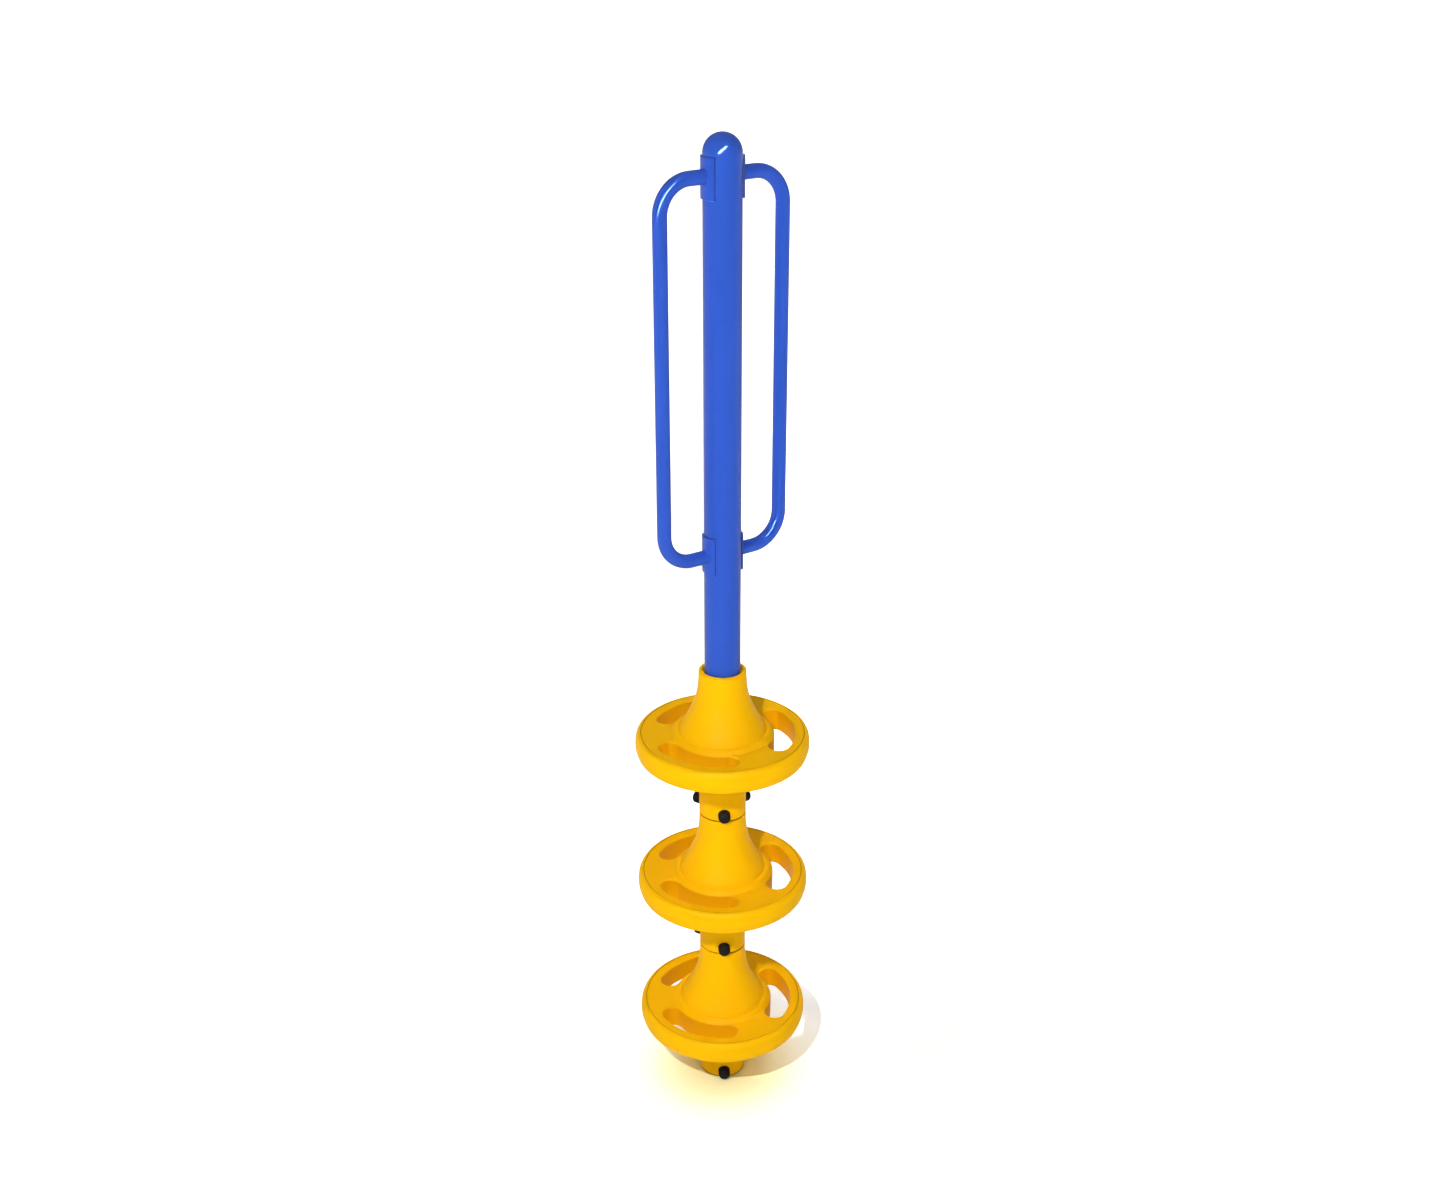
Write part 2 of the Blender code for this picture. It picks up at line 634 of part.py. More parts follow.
def make_fasteners():
    bolt_mesh = object_from("bolt_pattern", turned(bolt_section(), SMALL_FACETS, closed=False),
                            "zinc_fastener")
    cap_mesh = object_from("cap_pattern", turned(cap_section(), SMALL_FACETS, closed=False),
                           "black_plastic")
    made = []
    for level, number, place in bolt_places():
        for kind, pattern in (("pod_bolt", bolt_mesh), ("bolt_cap", cap_mesh)):
            piece = bpy.data.objects.new(f"{kind}_{level + 1}_{number + 1}", pattern.data)
            bpy.context.scene.collection.objects.link(piece)
            piece.matrix_world = place
            made.append(piece)
    for pattern in (bolt_mesh, cap_mesh):
        bpy.data.objects.remove(pattern, do_unlink=True)
    return made


def hang_on(parent, pieces):
    bpy.context.view_layer.update()
    for piece in pieces:
        placed = piece.matrix_world.copy()
        piece.parent = parent
        piece.matrix_world = placed


def main():
    clear_scene()
    make_anchor_plate()
    make_support_post()
    make_spindle()
    make_bearing()
    make_carrier()
    make_spindle_fasteners()
    make_lower_bush()
    make_pole()
    make_dome()
    turning = make_pods() + make_fasteners()
    for name, side in (("right", 1), ("left", -1)):
        turning.append(make_handle(f"handle_{name}", side))
        turning.append(make_saddle(f"saddle_{name}_top", side, HANDLE_TOP - SADDLE_OFFSET))
        turning.append(make_saddle(f"saddle_{name}_bottom", side, HANDLE_BOTTOM + SADDLE_OFFSET))
    axis = bpy.data.objects.new("spin_axis", None)
    bpy.context.scene.collection.objects.link(axis)
    hang_on(axis, turning)


main()
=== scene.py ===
"""Looks of the playground merry go round: moulded pods, painted steel, and a pale studio round them."""

import json
import math

import bmesh
import bpy
from mathutils import Matrix, Vector
from mathutils.geometry import delaunay_2d_cdt


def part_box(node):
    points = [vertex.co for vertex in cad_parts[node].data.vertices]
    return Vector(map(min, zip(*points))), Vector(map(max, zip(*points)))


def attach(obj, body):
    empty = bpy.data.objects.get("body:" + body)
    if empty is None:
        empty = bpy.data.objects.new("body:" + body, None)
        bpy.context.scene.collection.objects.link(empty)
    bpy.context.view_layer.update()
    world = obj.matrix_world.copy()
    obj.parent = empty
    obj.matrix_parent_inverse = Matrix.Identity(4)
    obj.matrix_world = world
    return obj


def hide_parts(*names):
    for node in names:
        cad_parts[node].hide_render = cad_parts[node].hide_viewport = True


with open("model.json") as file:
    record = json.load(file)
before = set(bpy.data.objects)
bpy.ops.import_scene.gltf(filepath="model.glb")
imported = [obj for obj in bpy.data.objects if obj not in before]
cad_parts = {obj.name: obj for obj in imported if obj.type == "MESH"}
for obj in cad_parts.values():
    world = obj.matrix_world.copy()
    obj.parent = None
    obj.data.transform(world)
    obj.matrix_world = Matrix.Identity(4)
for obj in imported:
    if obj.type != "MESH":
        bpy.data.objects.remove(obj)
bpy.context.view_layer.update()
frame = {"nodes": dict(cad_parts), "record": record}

MM = 0.001
AXIS_BODY = "rotor"
STILL_BODY = "ground_post"

# ---- Camera and light, in metres and degrees ----

CAMERA_TURN = -34.0
CAMERA_DISTANCE = 3.6886
CAMERA_HEIGHT = 3.030
CAMERA_PITCH = 24.118
LENS = 41.99

KEY_TURN = CAMERA_TURN - 14.0
KEY_DISTANCE = 3.1
KEY_HEIGHT = 3.4
KEY_RADIUS = 0.035
KEY_POWER = 24.2
KEY_COLOUR = (1.0, 0.985, 0.955)
SKY_STRENGTH = 0.46
BACKDROP = 0.93  # the same sky where the camera sees it past the floor's edge
GLINT_START = (-29.0, -6.5)  # turn from the camera and elevation, seen from the dome
GLINT_END = (35.0, 43.0)
GLINT_DISTANCE = 4.0
GLINT_WIDTH = 0.60
GLINT_POWER = 3200.0
FLOOR_RADIUS = 60.0
SHADE_FILL = 0.52  # glow in the lane away from the key, where the upper pieces' shadows would fall
FAR_GLOW = 0.48  # makes up for the key's slant far away
# Painted light: glow strength at each radius in metres round the foot, standing in for bounce light from the
# pods and lifting their shadows
FLOOR_GLOW = ((0.06, 0.0), (0.10, 0.05), (0.15, 0.22), (0.22, 0.36), (0.30, 0.42), (0.50, 0.20), (1.00, 0.20))
# Share of blue left in the floor's colour and glow at each radius: painted yellow bounce light under the pods
BOUNCE = ((0.10, 0.64), (0.145, 0.68), (0.185, 0.78), (0.225, 0.87), (0.31, 1.0))

# ---- Sizes read from the frame ----

POLE_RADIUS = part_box("pole_tube")[1].x
POLE_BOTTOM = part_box("pole_tube")[0].z
DOME_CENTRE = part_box("pole_dome_cap")[1].z - POLE_RADIUS
POLE_WALL = 4.0 * MM
PODS = ("pod_lower", "pod_middle", "pod_upper")
POD_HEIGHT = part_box("pod_lower")[1].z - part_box("pod_lower")[0].z
SADDLE_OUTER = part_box("saddle_right_top")[1].x
HANDLE_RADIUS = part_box("handle_right")[1].y
HANDLE_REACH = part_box("handle_right")[1].x - HANDLE_RADIUS
HANDLE_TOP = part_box("handle_right")[1].z - HANDLE_RADIUS
HANDLE_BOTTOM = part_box("handle_right")[0].z + HANDLE_RADIUS
POST_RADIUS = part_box("support_post")[1].x
POST_WALL = 3.9  # in millimetres
SEAM = 0.3 * MM
SADDLE_CHAMFER = 1.4 * MM
FLAT_SHARE = 0.9  # a saddle's face counts as flat when its normal points this much away from the pole

# Pod shape, in millimetres from the pod's own foot
NECK = 59.0
BORE = 44.75
EDGE = 0.9
JOINT_GAP = 2.6
JOINT_DEPTH = 7.0
MOUTH_DEPTH = 10.0
NECK_TOP = 84.0
FLARE_END = 114.0
UNDERSIDE = 168.0
DECK = 226.7
SLOT_INNER = 129.0
SLOT_OUTER = 180.0
SLOT_REACH = 31.5
SLOT_TURNS = (90.0, 210.0, 330.0)
SLOT_ROLL = 4.5
ROLL_STEPS = 8
PATCH_INNER = 120.5
PATCH_OUTER = 190.0
PATCH_RINGS = (121.5, 122.8, 124.2, 125.6, 127.0, 128.5, 132.0, 138.0, 146.0, 154.5, 163.0, 171.0, 178.0,
               184.5, 187.7)
CAP_TURNS = (0.0, 120.0, 240.0)
CAP_HEIGHT = 19.5
CAP_RADIUS = 15.3
CAP_PROUD = 22.2
HOLLOW_RADIUS = 9.6
HOLLOW_FLOOR = 62.9
POCKET_FLOOR = 56.0
BOLT_HOLE = 5.3
GROOVE_INNER = 202.0
GROOVE_OUTER = 203.4
GROOVE_FLOOR = 221.5
AROUND = 192

# Shares of each colour that a surface keeps
WHITE = (1.0, 1.0, 1.0)
# Painted shade for the slots' walls
SLOT_PAINTED_SHADE = (0.84, 0.76, 0.60)
# Painted shade for the groove inside the rim and the foot's edge
PAINTED_CREASE_SHADE = (0.17, 0.14, 0.22)


# ---- Mesh helpers ----


def new_object(name, bm, sharp=35.0):
    """A smooth-shaded object from bm, which is freed."""
    bmesh.ops.recalc_face_normals(bm, faces=bm.faces)
    mesh = bpy.data.meshes.new(name)
    bm.to_mesh(mesh)
    bm.free()
    mesh.shade_smooth()
    mesh.set_sharp_from_angle(angle=math.radians(sharp))
    piece = bpy.data.objects.new(name, mesh)
    bpy.context.scene.collection.objects.link(piece)
    return piece


def finish_piece(piece, surface, slot, body, *nodes):
    piece.data.materials.clear()
    piece.data.materials.append(surface)
    if nodes:
        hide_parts(*nodes)
    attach(piece, body)
    return piece


def spline(points, steps):
    """A smooth curve through the points, with this many steps between each pair."""
    curve = []
    for index in range(len(points) - 1):
        here, after = points[index], points[index + 1]
        before = points[index - 1] if index else here
        beyond = points[index + 2] if index + 2 < len(points) else after
        for step in range(steps):
            t = step / steps
            curve.append(tuple(
                0.5 * (2 * b + (c - a) * t + (2 * a - 5 * b + 4 * c - d) * t * t
                       + (3 * b - a - 3 * c + d) * t ** 3)
                for a, b, c, d in zip(before, here, after, beyond)))
    curve.append(tuple(points[-1]))
    return curve


def arc(centre_r, centre_z, radius, start, end, steps):
    """Points of a circle's arc in a (radius, height) section, angles in degrees."""
    turns = [math.radians(start + (end - start) * step / steps) for step in range(steps + 1)]
    return [(centre_r + radius * math.cos(turn), centre_z + radius * math.sin(turn)) for turn in turns]


def revolve(bm, line, around, closed=False, scale=MM):
    """Adds the surface of a (radius, height) line turned about Z; a point on the axis becomes one vertex."""
    rings = []
    for radius, height in line:
        if radius < 1e-6:
            rings.append([bm.verts.new((0, 0, height * scale))])
            continue
        turns = [2 * math.pi * step / around for step in range(around)]
        rings.append([bm.verts.new((radius * scale * math.cos(turn), radius * scale * math.sin(turn),
                                    height * scale)) for turn in turns])
    pairs = list(zip(rings, rings[1:]))
    if closed:
        pairs.append((rings[-1], rings[0]))
    for first, second in pairs:
        for step in range(around):
            after = (step + 1) % around
            if len(first) == 1:
                bm.faces.new((first[0], second[after], second[step]))
            elif len(second) == 1:
                bm.faces.new((first[step], first[after], second[0]))
            else:
                bm.faces.new((first[step], first[after], second[after], second[step]))
    return rings


def bridge(bm, first, second, closed=True):
    """Quads between two equal rows of vertices."""
    count = len(first)
    for step in range(count if closed else count - 1):
        after = (step + 1) % count
        bm.faces.new((first[step], first[after], second[after], second[step]))


def cylinder(radius, start, end, around, matrix):
    """A closed cylinder along the matrix's Z, as a bmesh."""
    bm = bmesh.new()
    revolve(bm, [(0, start), (radius, start), (radius, end), (0, end)], around)
    bmesh.ops.transform(bm, matrix=matrix, verts=bm.verts)
    bmesh.ops.recalc_face_normals(bm, faces=bm.faces)
    return bm


def cut(piece, shapes):
    """Cuts the closed shapes out of the piece for good."""
    whole = bmesh.new()
    for shape in shapes:
        mesh = bpy.data.meshes.new("shape")
        shape.to_mesh(mesh)
        shape.free()
        whole.from_mesh(mesh)
        bpy.data.meshes.remove(mesh)
    tool = new_object("cutter", whole)
    step = piece.modifiers.new("cut", "BOOLEAN")
    step.operation = "DIFFERENCE"
    step.solver = "EXACT"
    step.object = tool
    bpy.context.view_layer.update()
    seen = piece.evaluated_get(bpy.context.evaluated_depsgraph_get())
    result = bpy.data.meshes.new_from_object(seen)
    piece.modifiers.clear()
    piece.data = result
    bpy.data.objects.remove(tool, do_unlink=True)
    result.shade_smooth()
    result.set_sharp_from_angle(angle=math.radians(35.0))


def outward(turn, height):
    """Points a shape made along Z away from the spin axis, at this turn in degrees and height in metres."""
    return (Matrix.Translation((0, 0, height)) @ Matrix.Rotation(math.radians(turn), 4, "Z")
            @ Matrix.Rotation(math.radians(90), 4, "Y"))


# ---- Materials ----


class Shader:
    """A Principled material and short ways to add its nodes."""

    def __init__(self, name, roughness, metallic=0.0, **constants):
        self.material = bpy.data.materials.new(name)
        self.material.use_nodes = True
        self.tree = self.material.node_tree
        self.surface = self.tree.nodes["Principled BSDF"]
        self.surface.inputs["Roughness"].default_value = roughness
        self.surface.inputs["Metallic"].default_value = metallic
        for socket, value in constants.items():
            self.surface.inputs[socket.replace("_", " ")].default_value = value
        self.place = self.tree.nodes.new("ShaderNodeTexCoord").outputs["Object"]
        self.bumps = None

    def link(self, start, end):
        self.tree.links.new(start, end)

    def noise(self, scale, detail=3.0, roughness=0.5, stretch=(1, 1, 1)):
        mapping = self.tree.nodes.new("ShaderNodeMapping")
        mapping.inputs["Scale"].default_value = stretch
        self.link(self.place, mapping.inputs["Vector"])
        node = self.tree.nodes.new("ShaderNodeTexNoise")
        node.inputs["Scale"].default_value = scale
        node.inputs["Detail"].default_value = detail
        node.inputs["Roughness"].default_value = roughness
        self.link(mapping.outputs["Vector"], node.inputs["Vector"])
        return node.outputs["Fac"]

    def cells(self, scale):
        node = self.tree.nodes.new("ShaderNodeTexVoronoi")
        node.inputs["Scale"].default_value = scale
        self.link(self.place, node.inputs["Vector"])
        return node.outputs["Distance"]

    def spread(self, source, low, high, to_low=0.0, to_high=1.0):
        """Maps low..high of a value to to_low..to_high, clamped."""
        node = self.tree.nodes.new("ShaderNodeMapRange")
        node.inputs["From Min"].default_value = low
        node.inputs["From Max"].default_value = high
        node.inputs["To Min"].default_value = to_low
        node.inputs["To Max"].default_value = to_high
        self.link(source, node.inputs["Value"])
        return node.outputs["Result"]

    def mix(self, share, first, second):
        node = self.tree.nodes.new("ShaderNodeMix")
        node.data_type = "RGBA"
        for socket, value in ((node.inputs[6], first), (node.inputs[7], second)):
            if isinstance(value, tuple):
                socket.default_value = (*value, 1.0)
            else:
                self.link(value, socket)
        self.link(share, node.inputs[0])
        return node.outputs[2]

    def steps(self, source, points):
        """Reads a value off straight lines between (input, output) points."""
        node = self.tree.nodes.new("ShaderNodeFloatCurve")
        curve = node.mapping.curves[0]
        curve.points[0].location = points[0]
        curve.points[1].location = points[-1]
        for point in points[1:-1]:
            curve.points.new(*point)
        for point in curve.points:
            point.handle_type = "VECTOR"
        node.mapping.update()
        self.link(source, node.inputs["Value"])
        return node.outputs["Value"]

    def dot(self, direction):
        node = self.tree.nodes.new("ShaderNodeVectorMath")
        node.operation = "DOT_PRODUCT"
        node.inputs[1].default_value = direction
        self.link(self.place, node.inputs[0])
        return node.outputs["Value"]

    def band(self, source, start, full, wane, end):
        """Rises from start to full and falls from wane to end."""
        rise = self.spread(source, start, full)
        return self.sum("MULTIPLY", rise, self.spread(source, wane, end, 1.0, 0.0))

    def facing(self):
        """0 where a surface faces the viewer and 1 at its outline."""
        return self.tree.nodes.new("ShaderNodeLayerWeight").outputs["Facing"]

    def radius(self):
        """The distance from the object's own Z axis."""
        flat = self.tree.nodes.new("ShaderNodeVectorMath")
        flat.operation = "MULTIPLY"
        flat.inputs[1].default_value = (1, 1, 0)
        self.link(self.place, flat.inputs[0])
        node = self.tree.nodes.new("ShaderNodeVectorMath")
        node.operation = "LENGTH"
        self.link(flat.outputs["Vector"], node.inputs[0])
        return node.outputs["Value"]

    def sum(self, operation, *values):
        node = self.tree.nodes.new("ShaderNodeMath")
        node.operation = operation
        for value, socket in zip(values, node.inputs):
            self.link(value, socket)
        return node.outputs["Value"]

    def multiply(self, first, second):
        node = self.tree.nodes.new("ShaderNodeMix")
        node.data_type = "RGBA"
        node.blend_type = "MULTIPLY"
        node.inputs[0].default_value = 1.0
        self.link(first, node.inputs[6])
        self.link(second, node.inputs[7])
        return node.outputs[2]

    def bump(self, height, distance, strength=1.0):
        node = self.tree.nodes.new("ShaderNodeBump")
        node.inputs["Distance"].default_value = distance
        node.inputs["Strength"].default_value = strength
        self.link(height, node.inputs["Height"])
        if self.bumps:
            self.link(self.bumps, node.inputs["Normal"])
        self.bumps = node.outputs["Normal"]
        self.link(self.bumps, self.surface.inputs["Normal"])

    def colour(self, value):
        self.link(value, self.surface.inputs["Base Color"])

    def rough(self, value):
        self.link(value, self.surface.inputs["Roughness"])


def yellow_plastic():
    """Rotomoulded polyethylene: satin, with a fine sand-like skin and faint broad mottling."""
    shader = Shader("moulded_yellow", 0.36, IOR=1.24, Specular_IOR_Level=0.06,
                    Specular_Tint=(1.0, 0.72, 0.15, 1.0))
    broad = shader.spread(shader.noise(9.0, 3.0), 0.35, 0.65)
    base = shader.mix(broad, (0.890, 0.475, 0.0022), (0.920, 0.495, 0.0030))
    fine = shader.spread(shader.noise(420.0, 2.0), 0.3, 0.7)
    skin = shader.mix(fine, base, (0.880, 0.470, 0.0024))
    height, radius = shader.dot((0, 0, 1)), shader.radius()
    # Painted shade: the slots' walls are darkened as if in shade
    walls = shader.band(height, UNDERSIDE * MM, (UNDERSIDE + 4) * MM, (DECK - 4.2) * MM, (DECK - 0.2) * MM)
    within = shader.spread(radius, (SLOT_OUTER + 2) * MM, (SLOT_OUTER + 7) * MM, 1.0, 0.0)
    walls = shader.sum("MULTIPLY", walls, within)
    skin = shader.multiply(skin, shader.mix(walls, WHITE, SLOT_PAINTED_SHADE))
    # Painted shade: the groove inside the rim and the foot's edge by the floor are darkened as if in shade
    groove = shader.band(radius, (GROOVE_INNER - 0.3) * MM, (GROOVE_INNER - 0.2) * MM,
                         (GROOVE_OUTER + 0.2) * MM, (GROOVE_OUTER + 0.3) * MM)
    depth = shader.band(height, (GROOVE_FLOOR - 2.5) * MM, (GROOVE_FLOOR - 1.5) * MM,
                        (DECK + 0.3) * MM, (DECK + 0.7) * MM)
    groove = shader.sum("MULTIPLY", groove, depth)
    foot = shader.sum("MULTIPLY", shader.spread(height, 2 * MM, 3 * MM, 1.0, 0.0),
                      shader.spread(radius, (NECK - 3) * MM, (NECK - 2) * MM))
    crease_shade = shader.sum("MAXIMUM", groove, foot)
    shader.colour(shader.multiply(skin, shader.mix(crease_shade, WHITE, PAINTED_CREASE_SHADE)))
    shader.rough(shader.spread(shader.noise(60.0, 4.0), 0.3, 0.7, 0.33, 0.42))
    shader.bump(shader.noise(900.0, 2.0), 0.00010, 0.20)
    shader.bump(shader.noise(35.0, 2.0), 0.0006, 0.06)
    return shader.material


def blue_paint():
    """Polyester powder coat on steel: glossy, with a very fine orange peel."""
    shader = Shader("powder_coat_blue", 0.07, IOR=1.30, Specular_Tint=(0.14, 0.26, 1.0, 1.0))
    broad = shader.spread(shader.noise(6.0, 3.0), 0.35, 0.65)
    paint = shader.mix(broad, (0.028, 0.083, 0.465), (0.030, 0.088, 0.485))
    # Painted shade: the coat's colour darkens towards the outline, where the surface turns from the viewer
    edge = shader.spread(shader.facing(), 0.35, 0.90)
    shader.colour(shader.multiply(paint, shader.mix(edge, WHITE, (0.62, 0.62, 0.58))))
    shader.rough(shader.spread(shader.noise(90.0, 3.0), 0.3, 0.7, 0.06, 0.08))
    shader.bump(shader.noise(330.0, 1.0), 0.00006, 0.05)
    return shader.material


def edge_shade_paint():
    """The same coat darkened as painted shade for the corner where a plate meets the pole."""
    shader = Shader("powder_coat_painted_shade", 0.30, IOR=1.30)
    broad = shader.spread(shader.noise(6.0, 3.0), 0.35, 0.65)
    shader.colour(shader.mix(broad, (0.009, 0.030, 0.215), (0.010, 0.034, 0.240)))
    shader.rough(shader.spread(shader.noise(90.0, 3.0), 0.3, 0.7, 0.26, 0.36))
    shader.bump(shader.noise(330.0, 1.0), 0.00006, 0.05)
    return shader.material


def black_plastic():
    """Moulded nylon caps: near black, satin, finely grained."""
    shader = Shader("cap_black", 0.55, IOR=1.45, Specular_IOR_Level=0.025)
    shader.colour(shader.mix(shader.noise(300.0, 3.0), (0.009, 0.008, 0.007), (0.014, 0.012, 0.010)))
    shader.rough(shader.spread(shader.noise(150.0, 3.0), 0.3, 0.7, 0.50, 0.62))
    shader.bump(shader.noise(1400.0, 2.0), 0.00005, 0.2)
    return shader.material


def galvanised():
    """Hot-dip zinc, with its crystal spangle."""
    shader = Shader("galvanised_zinc", 0.42, metallic=1.0)
    spangle = shader.spread(shader.cells(70.0), 0.0, 0.6)
    shader.colour(shader.mix(spangle, (0.42, 0.44, 0.46), (0.60, 0.62, 0.64)))
    shader.rough(shader.spread(shader.cells(110.0), 0.0, 0.7, 0.32, 0.55))
    shader.bump(shader.noise(220.0, 3.0), 0.0002, 0.2)
    return shader.material


def ground_steel():
    """Bearing steel, with fine turned lines round the axis."""
    shader = Shader("ground_steel", 0.22, metallic=1.0)
    lines = shader.noise(60.0, 2.0, stretch=(1, 1, 60))
    shader.colour(shader.mix(lines, (0.56, 0.56, 0.58), (0.66, 0.66, 0.67)))
    shader.rough(shader.spread(lines, 0.3, 0.7, 0.16, 0.30))
    shader.bump(lines, 0.00003, 0.3)
    return shader.material


def zinc_plate():
    """Bright zinc-plated fasteners, slightly clouded."""
    shader = Shader("zinc_plate", 0.32, metallic=1.0)
    cloud = shader.noise(120.0, 4.0)
    shader.colour(shader.mix(cloud, (0.50, 0.51, 0.50), (0.63, 0.63, 0.60)))
    shader.rough(shader.spread(cloud, 0.3, 0.7, 0.25, 0.42))
    shader.bump(shader.noise(500.0, 2.0), 0.00004, 0.3)
    return shader.material


def bush_plastic():
    """Natural acetal with faint turning marks."""
    shader = Shader("natural_acetal", 0.48, IOR=1.48, Subsurface_Weight=0.05)
    lines = shader.noise(40.0, 2.0, stretch=(1, 1, 50))
    shader.colour(shader.mix(lines, (0.70, 0.69, 0.63), (0.79, 0.78, 0.73)))
    shader.rough(shader.spread(lines, 0.3, 0.7, 0.42, 0.55))
    shader.bump(lines, 0.00004, 0.3)
    return shader.material


def seal_rubber():
    """Nitrile rubber, matt and dusty."""
    shader = Shader("seal_nitrile", 0.72, IOR=1.52)
    dust = shader.spread(shader.noise(80.0, 5.0), 0.45, 0.75)
    shader.colour(shader.mix(dust, (0.018, 0.018, 0.019), (0.050, 0.047, 0.043)))
    shader.rough(shader.spread(dust, 0.0, 1.0, 0.66, 0.85))
    shader.bump(shader.noise(600.0, 3.0), 0.00008, 0.3)
    return shader.material


# ---- Pods ----


def bell_line():
    """The hub's curve from the collar's crease up to its straight head."""
    return spline([(108.3, 235.4), (107.4, 238.0), (104.0, 246.0), (97.0, 257.5), (83.0, 283.5),
                   (70.0, 313.5), (63.0, 342.0), (60.0, 367.0), (NECK, 390.0)], 5)


def deck_line():
    """The top of the deck from the groove inside the rim to the crease under the bell."""
    edge = [(GROOVE_INNER, 227.6), (198.0, 227.3), (194.0, 226.9), (PATCH_OUTER, DECK)]
    collar = [(128.0, DECK), (125.8, 227.4), (123.8, 229.8), (121.4, 232.8), (118.0, 235.3), (114.5, 236.7),
              (111.4, 237.0), (109.4, 236.3), (108.3, 235.4)]
    return spline(edge, 3) + spline(collar, 4)


def deck_height(radius):
    """The deck's height at a radius, read off its line."""
    for (outer, high), (inner, low) in zip(DECK_POINTS, DECK_POINTS[1:]):
        if inner <= radius <= outer:
            return high + (low - high) * (outer - radius) / (outer - inner)
    return DECK


def rim_line():
    """The rim's rounded outside, from the flat underside up to the groove."""
    return spline([(PATCH_OUTER, UNDERSIDE), (203.0, UNDERSIDE), (208.0, 170.0), (211.2, 174.0),
                   (213.4, 181.0), (215.8, 189.0), (216.5, 197.5), (216.2, 208.0), (214.9, 216.5),
                   (212.4, 222.4), (209.4, 226.0), (206.4, 227.5), (GROOVE_OUTER, 227.8)], 4)


def foot_line():
    """From the pole's bore out under the foot, up the neck and out along the flare."""
    line = [(BORE, 2.5), (BORE + 1.2, 0.0)]
    line += arc(NECK - EDGE, EDGE, EDGE, -90, 0, 4)
    line += [(NECK, 2.2 + 10 * step) for step in range(4)] + [(NECK, NECK_TOP - 20)]
    turns = [math.radians(90 * step / 14) for step in range(15)]
    line += [(NECK + (FLARE_END - NECK) * (1 - math.cos(turn)),
              NECK_TOP + (UNDERSIDE - NECK_TOP) * math.sin(turn)) for turn in turns]
    return line + [(PATCH_INNER, UNDERSIDE)]


def head_line():
    """The hub's top: a rounded edge, the step for the joint and a mouth round the pole."""
    top = POD_HEIGHT / MM
    line = arc(NECK - EDGE, top - JOINT_GAP - EDGE, EDGE, 0, 90, 4)
    line += [(NECK - JOINT_DEPTH + 0.5, top - JOINT_GAP), (NECK - JOINT_DEPTH, top - JOINT_GAP + 0.3),
             (NECK - JOINT_DEPTH, top - 0.2), (NECK - JOINT_DEPTH - 0.2, top), (50.6, top),
             (49.8, top - 0.6), (49.2, top - 2.0), (48.6, top - 6.0), (48.4, top - 9.0)]
    return line + [(BORE, top - MOUTH_DEPTH)]


def slot_loop(turn, offset):
    """Points round a slot whose edge is moved outwards by offset, in millimetres."""
    middle = math.radians(turn)
    reach = math.radians(SLOT_REACH)
    centre = 0.5 * (SLOT_INNER + SLOT_OUTER)
    half = 0.5 * (SLOT_OUTER - SLOT_INNER) + offset
    points = []
    for way in (1, -1):
        for step in range(32):
            angle = middle + way * reach * (2 * step / 32 - 1)
            radius = centre + way * half
            points.append((radius * math.cos(angle), radius * math.sin(angle)))
        end = middle + way * reach
        for step in range(18):
            angle = end + math.pi * step / 18 + (0 if way > 0 else math.pi)
            points.append((centre * math.cos(end) + half * math.cos(angle),
                           centre * math.sin(end) + half * math.sin(angle)))
    return points


def slot_distance(x, y):
    """How far a plan point is outside the nearest slot, in millimetres."""
    centre = 0.5 * (SLOT_INNER + SLOT_OUTER)
    half = 0.5 * (SLOT_OUTER - SLOT_INNER)
    best = 1e9
    for turn in SLOT_TURNS:
        angle = math.degrees(math.atan2(y, x)) - turn
        angle = (angle + 180.0) % 360.0 - 180.0
        if abs(angle) <= SLOT_REACH:
            best = min(best, abs(math.hypot(x, y) - centre) - half)
            continue
        end = math.radians(turn + math.copysign(SLOT_REACH, angle))
        best = min(best, math.hypot(x - centre * math.cos(end), y - centre * math.sin(end)) - half)
    return best


